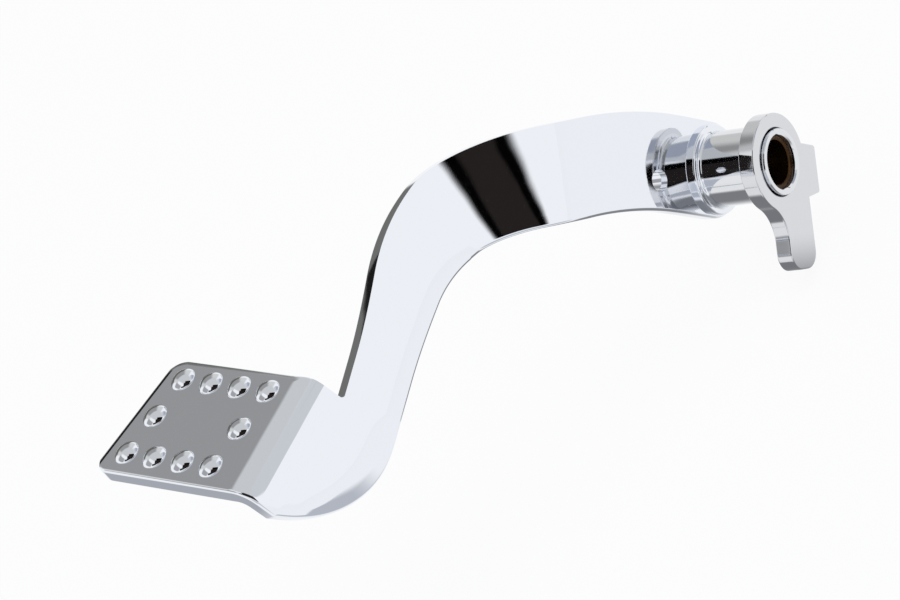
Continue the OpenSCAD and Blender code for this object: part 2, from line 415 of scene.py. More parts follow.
def smooth_by_angle(mesh: Mesh, limit_deg: float = 32.0) -> None:
    """Shades a mesh smooth, with its true corners kept sharp.

    Args:
        mesh: The mesh to shade.
        limit_deg: Edges that turn by more than this stay sharp.
    """
    bm = bmesh.new()
    bm.from_mesh(mesh)
    for face in bm.faces:
        face.smooth = True
    for edge in bm.edges:
        turn = edge.calc_face_angle(pi) if len(edge.link_faces) == 2 else pi
        edge.smooth = turn < radians(limit_deg)
    bm.to_mesh(mesh)
    bm.free()


def finished_piece(name: str, mesh: Mesh, finish: Material,
                   nodes: Iterable[str] = (), level_faces: bool = True) -> Object:
    """Links a mesh as a piece that rides on the pedal's one body.

    Args:
        name: The piece's name.
        mesh: Its mesh, already in place.
        finish: The material of all its faces.
        nodes: CAD nodes that the piece stands for.
        level_faces: Whether the large flat faces lead the normals near them.

    Returns:
        The finished object.
    """
    mesh.name = name
    mesh.materials.clear()
    mesh.materials.append(finish)
    piece = placed(name, mesh)
    if level_faces:
        # Above 50, the large faces lead by more than their area alone
        lead = piece.modifiers.new("lead", "WEIGHTED_NORMAL")
        lead.keep_sharp = True
        lead.weight = 60
        piece.data = applied(piece)
        piece.modifiers.clear()
        piece.data.name = name
    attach(piece, "root")
    if nodes:
        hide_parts(*nodes)
    LOG.info("%s: %d faces", name, len(piece.data.polygons))
    return piece


def turned_mesh(name: str, profile: Sequence[Point2], segments: int = 192) -> Mesh:
    """Turns a closed profile about the pivot axis.

    Args:
        name: The mesh's name.
        profile: Radius and place along the axis of each point, in millimetres.
        segments: Number of steps round the axis.

    Returns:
        A closed mesh whose faces point outwards.
    """
    bm = bmesh.new()
    rings = []
    for k in range(segments):
        a = 2 * pi * k / segments
        rings.append([bm.verts.new((r * sin(a) * MM, y * MM, r * cos(a) * MM)) for r, y in profile])
    count = len(profile)
    for k in range(segments):
        one, two = rings[k], rings[(k + 1) % segments]
        for j in range(count):
            bm.faces.new((one[j], one[(j + 1) % count], two[(j + 1) % count], two[j]))
    bmesh.ops.recalc_face_normals(bm, faces=bm.faces)
    mesh = mesh_of(bm, name)
    smooth_by_angle(mesh)
    return mesh


def round_end(r_in: float, r_out: float, y: float, way: float, rounding: float, chamfer: float) -> list[Point2]:
    """Points of one end of a tube's wall, from the bore to the outside.

    Args:
        r_in: Radius of the bore.
        r_out: Outer radius.
        y: Place of the end face.
        way: 1 where the end faces inboard, -1 where it faces outboard.
        rounding: Radius that breaks the outer edge.
        chamfer: Chamfer of the bore's mouth.

    Returns:
        The end's points.
    """
    mouth = [
        (r_in, y - way * chamfer),
        (r_in + chamfer * 0.8, y - way * chamfer * 0.12),
        (r_in + chamfer, y),
    ]
    return mouth + arc(r_out - rounding, y - way * rounding, rounding, way * QUARTER, 0, 6)


@dataclass
class PivotLine:
    """Sizes along the pivot axis in millimetres, and the faces they give, from the tube's middle inboard."""

    tube_d: float = 27.0
    tube_wall: float = 3.975
    spigot_step: float = 1.7
    spigot_proud: float = 1.2
    lever_t: float = 6.2
    tube_show: float = 18.8
    hub_boss: float = 2.1
    plate_t: float = 6.4
    tube_tail: float = 2.5

    def __post_init__(self) -> None:
        """Works out the faces and radii that follow from the sizes."""
        shown = self.lever_t + self.tube_show + self.hub_boss + self.plate_t
        self.tube_in = (self.spigot_proud + shown + self.tube_tail) / 2
        self.lever_face = self.tube_in - self.spigot_proud
        self.lever_back = self.lever_face - self.lever_t
        self.hub_face = self.lever_back - self.tube_show
        self.plate = self.hub_face - self.hub_boss
        self.bore_r = self.tube_d / 2 - self.tube_wall
        self.spigot_r = self.tube_d / 2 - self.spigot_step


@dataclass
class Station:
    """One cross-section of the forging, given by its rear and front edge on the inboard face.

    The bevels are widths along those edges. Top and under are the depths by which a rounded end draws in the
    inboard and the outboard face.
    """

    rear: Vector
    front: Vector
    bevel: float
    rear_bevel: float = 0.0
    top: float = 0.0
    under: float = 0.0


@dataclass
class ForgedArm:
    """The forging: rounded plate, bar that steps outboard, bend and studded pad, in millimetres."""

    line: PivotLine
    edge_r: float = 1.3
    hub_d: float = 32.4
    hub_sunk: float = 0.6
    hub_round: float = 0.8
    hub_fillet: float = 1.3
    arm_w: float = 34.4
    neck_w: float = 22.7
    climb: float = 54.4
    climb_l: float = 25.0
    sweep_r: float = 188.0
    sweep_turn: float = 19.0
    knee_r: float = 68.0
    dip: float = 11.8
    level_l: float = 46.0
    narrow_from: float = 82.0
    narrow_to: float = 175.0
    step_from: float = 72.0
    step_to: float = 114.0
    crown_from: float = 15.0
    crown_to: float = 85.0
    crown_d: float = 8.0
    lift: float = 0.8
    lift_from: float = 70.0
    lift_peak: float = 95.0
    lift_to: float = 120.0
    step_out: float = 48.0
    lean: float = 22.0
    inner_r: float = 1.2
    fan_power: float = 1.6
    bevel_w: float = 9.0
    bevel_d: float = 2.2
    bevel_lead: float = 10.0
    pad_w: float = 48.6
    pad_l: float = 57.0
    bend_turn: float = 7.0
    pad_turn: float = 12.3
    pad_rake: float = 11.5
    pad_corner: float = 7.0
    pad_bevel: float = 3.0
    pad_slope: float = 0.22
    bend_r: float = 11.0
    web: float = 5.4
    stud_d: float = 9.3
    stud_h: float = 2.5
    stud_power: float = 1.45
    stud_root: float = 0.8
    stud_cols: int = 4
    stud_side: float = 8.4
    stud_end: float = 11.0
    stud_pitch: float = 13.7
    hole_d: float = 8.0
    hole_reach: float = 33.2
    hole_drop: float = 6.9
    hole_past: float = 5.0
    corner_steps: int = 6
    flat_points: int = 8
    bar_steps: int = 189
    fan_steps: int = 60
    bend_steps: int = 26
    pad_rings: int = 24

    def __post_init__(self) -> None:
        """Works out the places that follow from the sizes."""
        self.edge_cut = self.edge_r * CUT_PER_RADIUS
        self.knee_heading = self.climb - self.sweep_turn
        self.s_knee = self.climb_l + self.sweep_r * radians(self.sweep_turn)
        self.s_level = self.s_knee + self.knee_r * radians(self.knee_heading + self.dip)
        self.s_end = self.s_level + self.level_l
        self.sweep_centre = forward(self.climb) * self.climb_l - upward(self.climb) * self.sweep_r
        self.knee_centre = self.sweep_centre + upward(self.knee_heading) * (self.sweep_r - self.knee_r)
        self.level_start = self.knee_centre + upward(-self.dip) * self.knee_r
        turn, lean = radians(self.bend_turn), radians(self.lean)
        self.along = Vector((cos(turn), -sin(turn), 0))
        self.rising = Vector((-sin(turn) * sin(lean), -cos(turn) * sin(lean), cos(lean)))
        self.facing = Vector((sin(turn) * cos(lean), cos(turn) * cos(lean), sin(lean)))
        pad_turn, rake = radians(self.pad_turn), radians(self.pad_rake)
        self.outward = Vector((-sin(pad_turn), -cos(pad_turn), 0))
        self.slim_w = self.neck_w * cos(lean)
        bar_end = self.level_start + forward(-self.dip) * self.level_l
        self.inner_corner = bar_end + upward(-self.dip) * (self.slim_w / 2)
        self.corner_y = self.line.plate - self.step_out
        self.fan_centre = self.inner_corner + upward(-self.dip) * self.inner_r
        skew = radians(self.pad_turn - self.bend_turn)
        self.pad_span = self.pad_w / cos(skew)
        self.fan_w = self.pad_span * cos(turn)
        self.pad_extra = self.pad_span * sin(rake) / cos(rake - skew)
        bend_foot = self.leaning(self.fan_centre.x + self.inner_r, self.fan_centre.y + self.web)
        self.bend_hub = bend_foot - self.facing * self.bend_r
        self.pad_start = self.bend_hub + Vector((0, 0, self.bend_r))

    def leaning(self, x: float, z: float) -> Vector:
        """Finds a point of the leaning plane, which holds the web and the foot of the bend.

        Args:
            x: Its place forward.
            z: Its height.

        Returns:
            The point.
        """
        turn, lean = radians(self.bend_turn), radians(self.lean)
        rise = (z - self.inner_corner.y) / cos(lean)
        run = (x - self.inner_corner.x + rise * sin(turn) * sin(lean)) / cos(turn)
        return Vector((x, self.corner_y - run * sin(turn) - rise * cos(turn) * sin(lean), z))

    def face_point(self, at: Vector, t: float) -> Vector:
        """Point of the inboard face, part of the way from the hub's plane to the leaning plane."""
        return Vector((at.x, mix(self.line.plate, self.leaning(at.x, at.y).y, t), at.y))

    def heading(self, s: float) -> float:
        """Finds the heading of the centre line.

        Args:
            s: Length from the pivot.

        Returns:
            The heading in the side view, in degrees.
        """
        if s < self.climb_l:
            return self.climb
        if s < self.s_knee:
            return self.climb - degrees((s - self.climb_l) / self.sweep_r)
        if s < self.s_level:
            return self.knee_heading - degrees((s - self.s_knee) / self.knee_r)
        return -self.dip

    def centre(self, s: float) -> Vector:
        """Finds a place on the centre line.

        Args:
            s: Length from the pivot.

        Returns:
            The place in the side view.
        """
        if s < self.climb_l:
            return forward(self.climb) * s
        if s < self.s_knee:
            return self.sweep_centre + upward(self.heading(s)) * self.sweep_r
        if s < self.s_level:
            return self.knee_centre + upward(self.heading(s)) * self.knee_r
        return self.level_start + forward(-self.dip) * (s - self.s_level)

    def end_station(self, back: float) -> Station:
        """Cross-section of the plate's rounded end.

        Args:
            back: Distance from its tip.

        Returns:
            The station.
        """
        r = self.arm_w / 2
        half = sqrt(r**2 - (r - back) ** 2)
        side, at = upward(self.climb) * half, forward(self.climb) * (back - r)
        lip = drawn_in(self.edge_r, back)
        rear, front = self.face_point(at + side, 0), self.face_point(at - side, 0)
        return Station(rear, front, min(self.edge_cut, half * 0.4), 0.0, lip, lip)

    def bar_station(self, s: float) -> Station:
        """Cross-section of the bar.

        Args:
            s: Length from the pivot.

        Returns:
            The station.
        """
        half = mix(self.arm_w, self.slim_w, ease(s, self.narrow_from, self.narrow_to)) / 2
        up = upward(self.heading(s))
        side = up * half
        t = ease(s, self.step_from, self.step_to)
        # The polished face is crowned ahead of the step, which draws in the tube's mirror image
        crown = Vector((0, self.crown_d * ease(s, self.crown_from, self.crown_to) * (1 - t), 0))
        swell = ease(s, self.lift_from, self.lift_peak) * (1 - ease(s, self.lift_peak, self.lift_to))
        middle = self.centre(s) + up * (self.lift * swell)
        bevel = mix(self.edge_cut, self.bevel_w * 0.5, ease(s, self.s_knee - self.bevel_lead, self.s_level))
        rear, front = (self.face_point(middle + side * way, t) - crown for way in (1, -1))
        return Station(rear, front, bevel)

    def fan_station(self, u: float) -> Station:
        """Cross-section of the web that turns about the inner corner.

        Args:
            u: Share of the turn, from 0 to 1.

        Returns:
            The station.
        """
        turn = mix(-self.dip, 90, u)
        spoke = -upward(turn)
        width = mix(self.slim_w, self.fan_w, u**self.fan_power)
        inner = self.fan_centre + spoke * self.inner_r
        outer = self.fan_centre + spoke * (self.inner_r + width)
        bevel = self.bevel_w * (0.5 + 0.5 * sin(pi * min(1.0, u * 1.1)))
        return Station(self.leaning(inner.x, inner.y), self.leaning(outer.x, outer.y), bevel)

    def bend_station(self, u: float) -> Station:
        """Cross-section of the bend between web and pad.

        Args:
            u: Share of the bend, from 0 to 1.

        Returns:
            The station.
        """
        a = u * radians(90 - self.lean)
        rear = self.bend_hub + (self.facing * cos(a) + self.rising * sin(a)) * self.bend_r
        bevel = mix(self.bevel_w * 0.5, self.edge_cut, ease(u, -0.6, 1))
        return Station(rear, rear + self.along * self.pad_span, bevel, self.pad_bevel * ease(u, 0.3, 1))

    def on_pad(self, share: float, back: float) -> Vector:
        """Point at a share of the pad's width from its rear edge, and a length from its outboard end."""
        return (self.pad_start + self.along * (share * self.pad_span)
                + self.outward * (self.pad_l + share * self.pad_extra - back))

    def pad_station(self, back: float) -> Station:
        """Cross-section of the pad.

        Args:
            back: Distance from its outboard end.

        Returns:
            The station.
        """
        rear, front = self.on_pad(0, back), self.on_pad(1, back)
        inset = (front - rear).normalized() * drawn_in(self.pad_corner, back)
        lip = drawn_in(self.edge_r, back)
        slope = self.pad_slope * max(0.0, self.pad_bevel - back)
        return Station(rear + inset, front - inset, self.edge_cut, self.pad_bevel, lip + slope, lip)

    def stations(self) -> list[Station]:
        """Lists all cross-sections, close together wherever an edge or a corner rounds off.

        Returns:
            The stations from the rounded end at the pivot to the pad's outboard end.
        """
        tips = [0.03, 0.1, 0.2, 0.35, 0.6, 0.9]
        tips += [self.arm_w / 2 * (1 - cos(radians(a))) for a in range(24, 89, 3)]
        end = [self.end_station(back) for back in tips]
        bar = [self.bar_station(self.s_end * i / self.bar_steps) for i in range(self.bar_steps + 1)]
        fan = [self.fan_station(i / self.fan_steps) for i in range(1, self.fan_steps + 1)]
        bend = [self.bend_station(i / self.bend_steps) for i in range(1, self.bend_steps + 1)]
        flat = [self.pad_l * k for k in (0.85, 0.6, 0.35)]
        corner = [self.pad_corner * (1 - sin(radians(a))) for a in range(0, 66, 5)]
        lip = [self.edge_r * (1 - sin(radians(a))) for a in range(30, 91, 10)]
        backs = sorted({round(b, 4) for b in [*flat, *corner, self.pad_bevel, *lip]}, reverse=True)
        return [*end, *bar, *fan, *bend, *(self.pad_station(b) for b in backs)]

    def section(self, width: float, station: Station) -> list[Point2]:
        """Draws the outline of one cross-section.

        Args:
            width: Distance between its edges.
            station: Its bevels and end depths.

        Returns:
            Distance from the rear edge and depth under the inboard face of each point.
        """
        edge = self.edge_r
        drop = mix(0.0, self.bevel_d, ease(station.bevel, self.edge_cut, self.bevel_w))
        shoulder = self.pad_slope * station.rear_bevel
        top, low = station.top, self.line.plate_t - station.under
        # The flats start clear of the rounded corners, and even points along them keep the mirror even
        inner, outer = min(station.rear_bevel + 1.2, width * 0.3), width - station.bevel * 1.9
        foot = min(1.7, width * 0.3)
        shares = [k / (self.flat_points + 1) for k in range(1, self.flat_points + 1)]
        corners = [
            (0.0, max(top, shoulder), edge),
            (station.rear_bevel + 0.01, top, min(0.9, 0.3 + station.rear_bevel * 0.2)),
            *((mix(inner, outer, u), top, 0.0) for u in shares),
            (width - station.bevel, top, station.bevel * 0.85),
            (width, top + drop, edge * (0.75 if drop > 0.3 else 1.0)),
            (width, low, edge),
            *((mix(width - foot, foot, u), low, 0.0) for u in shares),
            (0.0, low, edge),
        ]
        return soft_corners(corners, self.corner_steps)

    def rings(self) -> list[list[Vector]]:
        """Lays each cross-section square to the forging's run.

        Returns:
            The cross-sections as rings of points with the same count.
        """
        all_stations = self.stations()
        last = len(all_stations) - 1
        middles = [(st.rear + st.front) / 2 for st in all_stations]
        out = []
        for i, st in enumerate(all_stations):
            across = (st.front - st.rear).normalized()
            if i > last - self.pad_rings:
                normal = Vector((0, 0, 1))
            else:
                travel = middles[min(last, i + 1)] - middles[max(0, i - 1)]
                normal = travel.cross(across).normalized()
            if normal.dot(Vector((0, 1, 1))) < 0:
                normal.negate()
            width = (st.front - st.rear).length
            out.append([st.rear + across * x - normal * z for x, z in self.section(width, st)])
        return out

    def body_mesh(self) -> Mesh:
        """Makes the rounded end, bar, bend and pad as one closed skin.

        Returns:
            The skin.
        """
        bm = bmesh.new()
        rings = [[bm.verts.new(p * MM) for p in ring] for ring in self.rings()]
        count = len(rings[0])
        for one, two in zip(rings, rings[1:]):
            for j in range(count):
                k = (j + 1) % count
                bm.faces.new((one[j], one[k], two[k], two[j]))
        bm.faces.new(rings[0])
        bm.faces.new(rings[-1])
        bmesh.ops.remove_doubles(bm, verts=bm.verts, dist=1e-6)
        bmesh.ops.recalc_face_normals(bm, faces=bm.faces)
        return mesh_of(bm, "arm_skin")

    def hub_mesh(self) -> Mesh:
        """Makes the low round hub with its fillet up to the tube.

        Returns:
            The hub, whose foot is sunk in the plate.
        """
        line, r, e, f = self.line, self.hub_d / 2, self.hub_round, self.hub_fillet
        inside, foot = line.tube_d / 2, line.plate - self.hub_sunk
        profile = [(inside, foot), (r, foot)]
        profile += arc(r - e, line.hub_face - e, e, 0, QUARTER, 8)
        profile += arc(inside + f, line.hub_face + f, f, -QUARTER, -pi, 8)
        return turned_mesh("hub", profile)

    def bored(self, base: Object, at: Vector, r: float) -> None:
        """Cuts a round hole through the plate, along the pivot axis.

        Args:
            base: The object to cut.
            at: The hole's place in the side view.
            r: Its radius.
        """
        bm = bmesh.new()
        depth = (self.line.plate_t + 2 * self.hole_past) * MM
        bmesh.ops.create_cone(bm, cap_ends=True, segments=96, radius1=r * MM, radius2=r * MM, depth=depth)
        bmesh.ops.rotate(bm, verts=bm.verts, matrix=Matrix.Rotation(QUARTER, 3, "X"))
        middle = Vector((at.x, self.line.plate - self.line.plate_t / 2, at.y))
        bmesh.ops.translate(bm, verts=bm.verts, vec=middle * MM)
        tool = placed("hole", mesh_of(bm, "hole"))
        step = base.modifiers.new("bored", "BOOLEAN")
        step.operation = "DIFFERENCE"
        step.solver = "EXACT"
        step.object = tool
        base.data = applied(base)
        base.modifiers.clear()
        bpy.data.objects.remove(tool)

    def build(self, finish: Material) -> Object:
        """Builds the forging with its hub and holes.

        Args:
            finish: The plated finish.

        Returns:
            The arm.
        """
        base = placed("arm_blank", self.body_mesh())
        link = forward(self.climb) * self.hole_reach - upward(self.climb) * self.hole_drop
        for at, size in ((Vector((0, 0)), self.line.tube_d), (link, self.hole_d)):
            self.bored(base, at, size / 2)
        bm = bmesh.new()
        bm.from_mesh(base.data)
        bm.from_mesh(self.hub_mesh())
        bmesh.ops.dissolve_degenerate(bm, edges=bm.edges, dist=1e-7)
        mesh = mesh_of(bm, "pedal_arm")
        bpy.data.objects.remove(base)
        smooth_by_angle(mesh)
        return finished_piece("forged_arm", mesh, finish, ("pedal_arm",))

    def stud_places(self) -> list[Vector]:
        """Finds the studs on the pad: two full rows, and two studs between them at the ends.

        Returns:
            Their centres.
        """
        out = []
        for col in range(self.stud_cols):
            sides = [self.stud_side, self.pad_w - self.stud_side]
            if col in (0, self.stud_cols - 1):
                sides.append(self.pad_w / 2)
            out += [self.on_pad(side / self.pad_w, self.stud_end + col * self.stud_pitch) for side in sides]
        return out

    def studs(self, finish: Material) -> Object:
        """Sets one domed stud on each marked place of the pad.

        Args:
            finish: The plated finish.

        Returns:
            The studs as one piece.
        """
        marks = bpy.data.meshes.new("stud_marks")
        marks.from_pydata([tuple(p * MM) for p in self.stud_places()], [], [])
        holder = placed("stud_marks", marks)
        spread = holder.modifiers.new("studs", "NODES")
        spread.node_group = self.stud_tree(finish)
        sizes = {"Radius": self.stud_d / 2 * MM, "Height": self.stud_h * MM}
        for item in spread.node_group.interface.items_tree:
            if item.item_type == "SOCKET" and item.in_out == "INPUT" and item.name in sizes:
                spread[item.identifier] = sizes[item.name]
        mesh = applied(holder)
        bpy.data.objects.remove(holder)
        return finished_piece("pad_studs", mesh, finish, level_faces=False)

    def stud_tree(self, finish: Material) -> NodeTree:
        """Builds the node tree that puts a pressed dome on every point.

        Args:
            finish: The domes' finish.

        Returns:
            The tree, with the marks, a radius and a height as inputs.
        """
        tree = bpy.data.node_groups.new("StudField", "GeometryNodeTree")
        for name, kind in (("Geometry", "Geometry"), ("Radius", "Float"), ("Height", "Float")):
            tree.interface.new_socket(name, in_out="INPUT", socket_type=f"NodeSocket{kind}")
        tree.interface.new_socket("Geometry", in_out="OUTPUT", socket_type="NodeSocketGeometry")
        given = add_node(tree, "NodeGroupInput").outputs
        ball = add_node(tree, "GeometryNodeMeshUVSphere", {"Segments": 64, "Rings": 40})
        spot = add_node(tree, "GeometryNodeInputPosition")
        x, y, z = add_node(tree, "ShaderNodeSeparateXYZ", {0: spot}).outputs
        # A power of the ball's height gives the dome's soft foot, and the lower half is a short root in the pad
        share = maths(tree, "POWER", maths(tree, "MAXIMUM", z), self.stud_power)
        crown = maths(tree, "MULTIPLY", share, given["Height"])
        root = maths(tree, "MULTIPLY", maths(tree, "MINIMUM", z), self.stud_root * MM)
        place = add_node(tree, "ShaderNodeCombineXYZ", {
            0: maths(tree, "MULTIPLY", x, given["Radius"]), 1: maths(tree, "MULTIPLY", y, given["Radius"]),
            2: maths(tree, "ADD", crown, root)})
        dome = add_node(tree, "GeometryNodeSetPosition", {"Geometry": ball, "Position": place})
        smooth = add_node(tree, "GeometryNodeSetShadeSmooth", {"Geometry": dome})
        points = add_node(tree, "GeometryNodeMeshToPoints", {"Mesh": given["Geometry"]})
        spread = add_node(tree, "GeometryNodeInstanceOnPoints", {"Points": points, "Instance": smooth})
        real = add_node(tree, "GeometryNodeRealizeInstances", {"Geometry": spread})
        dressed = add_node(tree, "GeometryNodeSetMaterial", {"Geometry": real, "Material": finish})
        add_node(tree, "NodeGroupOutput", {"Geometry": dressed})
        return tree


@dataclass
class PivotTube:
    """The turned tube with its spigot and weld bead, in millimetres."""

    line: PivotLine
    bead: float = 1.8
    bore_chamfer: float = 0.6
    edge_r: float = 0.5

    def build(self, finish: Material) -> Object:
        """Builds the tube.

        Args:
            finish: The plated finish.

        Returns:
            The tube.
        """
        line = self.line
        r_in, r_out, r_spigot = line.bore_r, line.tube_d / 2, line.spigot_r
        y_end = line.plate - line.plate_t - line.tube_tail
        profile = round_end(r_in, r_spigot, line.tube_in, 1, self.edge_r, self.bore_chamfer)
        profile.append((r_spigot, line.lever_back))
        # The bead is a hollow-faced weld between the lever's back and the tube
        profile += arc(r_out + self.bead, line.lever_back - self.bead, self.bead, QUARTER, pi, 8)
        profile += reversed(round_end(r_in, r_out, y_end, -1, self.edge_r, self.bore_chamfer))
        mesh = turned_mesh("pivot_tube", profile)
        return finished_piece("pivot_tube_shell", mesh, finish, ("pivot_tube",))


@dataclass
class Bushing:
    """A pressed bearing sleeve, in millimetres."""

    line: PivotLine
    inboard: bool
    wall: float = 1.575
    length: float = 16.0
    recess: float = 2.0
    edge_r: float = 0.25
    bore_chamfer: float = 0.4

    def build(self, finish: Material) -> Object:
        """Builds the sleeve.

        Args:
            finish: The bronze finish.

        Returns:
            The sleeve.
        """
        node = "inboard_bushing" if self.inboard else "outboard_bushing"
        end = self.line.tube_in - self.recess
        top = end if self.inboard else self.length - end
        r_out = self.line.bore_r
        r_in = r_out - self.wall
        profile = round_end(r_in, r_out, top, 1, self.edge_r, self.bore_chamfer)
        profile += reversed(round_end(r_in, r_out, top - self.length, -1, self.edge_r, self.bore_chamfer))
        return finished_piece(f"{node}_sleeve", turned_mesh(node, profile), finish, (node,))


@dataclass
class RodLever:
    """The stamped lever: round eye, hanging finger and square stop lug, in millimetres."""

    line: PivotLine
    eye_wall: float = 5.6
    turn: float = 45.0
    finger_reach: float = 38.6
    finger_w: float = 17.1
    finger_offset: float = 9.35
    finger_r: float = 6.4
    finger_fillet: float = 14.0
    lug_reach: float = 25.4
    lug_h: float = 16.9
    lug_top: float = 4.4
    lug_slope: float = 9.0
    edge_r: float = 0.55
    seam: float = 0.4

    def outline(self) -> list[Point2]:
        """Draws the outer outline of the lever before its turn, anticlockwise from the eye's front.

        Returns:
            The outline's points.
        """
        r = self.line.spigot_r + self.eye_wall
        rear = -self.finger_offset - self.finger_w / 2
        front = rear + self.finger_w
        end_z = self.finger_r - self.finger_reach
        foot = self.lug_top - self.lug_h
        slope = tan(radians(self.lug_slope))
        swing = r + self.finger_fillet
        fx = front + self.finger_fillet
        fz = -sqrt(swing**2 - fx**2)
        touch = atan2(fz, fx)
        # The lug's top runs at a slope to the eye, and meets it where the heights agree
        tries = (QUARTER * (1 + k / 400) for k in range(400))
        start = next(a for a in tries if r * sin(a) <= self.lug_top + (self.lug_reach + r * cos(a)) * slope)
        points = arc(0, 0, r, touch, start, 150)
        # The lug's corners are broken by about half a millimetre
        points += [(-self.lug_reach + 0.8, self.lug_top + 0.12), (-self.lug_reach, self.lug_top - 0.6)]
        points += [(-self.lug_reach, foot + 0.6), (-self.lug_reach + 0.5, foot)]
        points.append((rear, foot - (self.lug_reach + rear) * slope))
        points += arc(rear + self.finger_r, end_z, self.finger_r, pi, 1.5 * pi, 24)
        points += arc(front - self.finger_r, end_z, self.finger_r, 1.5 * pi, tau, 24)
        return points + arc(fx, fz, self.finger_fillet, pi, touch + pi, 40)[1:-1]

    def build(self, finish: Material) -> Object:
        """Builds the lever.

        Args:
            finish: The plated finish.

        Returns:
            The lever.
        """
        sheet = bpy.data.curves.new("lever_sheet", "CURVE")
        sheet.dimensions = "2D"
        sheet.fill_mode = "BOTH"
        sheet.extrude = (self.line.lever_t / 2 - self.edge_r) * MM
        sheet.bevel_depth = self.edge_r * MM
        sheet.bevel_resolution = 4
        sheet.offset = -self.edge_r * MM
        hole = arc(0, 0, self.line.spigot_r + self.seam, 0, tau, 160)[:-1]
        for points in (self.outline(), hole):
            spline = sheet.splines.new("POLY")
            spline.points.add(len(points) - 1)
            for target, (x, z) in zip(spline.points, points):
                target.co = (x * MM, z * MM, 0, 1)
            spline.use_cyclic_u = True
        holder = placed("lever_sheet", sheet)
        mesh = applied(holder)
        bpy.data.objects.remove(holder)
        # The sheet is drawn flat, turned to its place round the axis and stood up
        mid = self.line.lever_face - self.line.lever_t / 2
        turned = Matrix.Rotation(QUARTER, 4, "X") @ Matrix.Rotation(radians(self.turn), 4, "Z")
        mesh.transform(Matrix.Translation(Vector((0, mid, 0)) * MM) @ turned)
        bm = bmesh.new()
        bm.from_mesh(mesh)
        bmesh.ops.remove_doubles(bm, verts=bm.verts, dist=2e-6)
        bmesh.ops.recalc_face_normals(bm, faces=bm.faces)
        bm.to_mesh(mesh)
        bm.free()
        smooth_by_angle(mesh, limit_deg=40)
        return finished_piece("lever_plate", mesh, finish, ("rod_lever",))


@dataclass(frozen=True)
class Board:
    """A soft-edged board.

    Place and sizes are in metres, the tone is sRGB, and soft is the fading share of its half width and height.
    """

    name: str
    tone: str
    middle: Vector
    face: Vector
    up: Vector
    width: float
    height: float
    soft: Point2


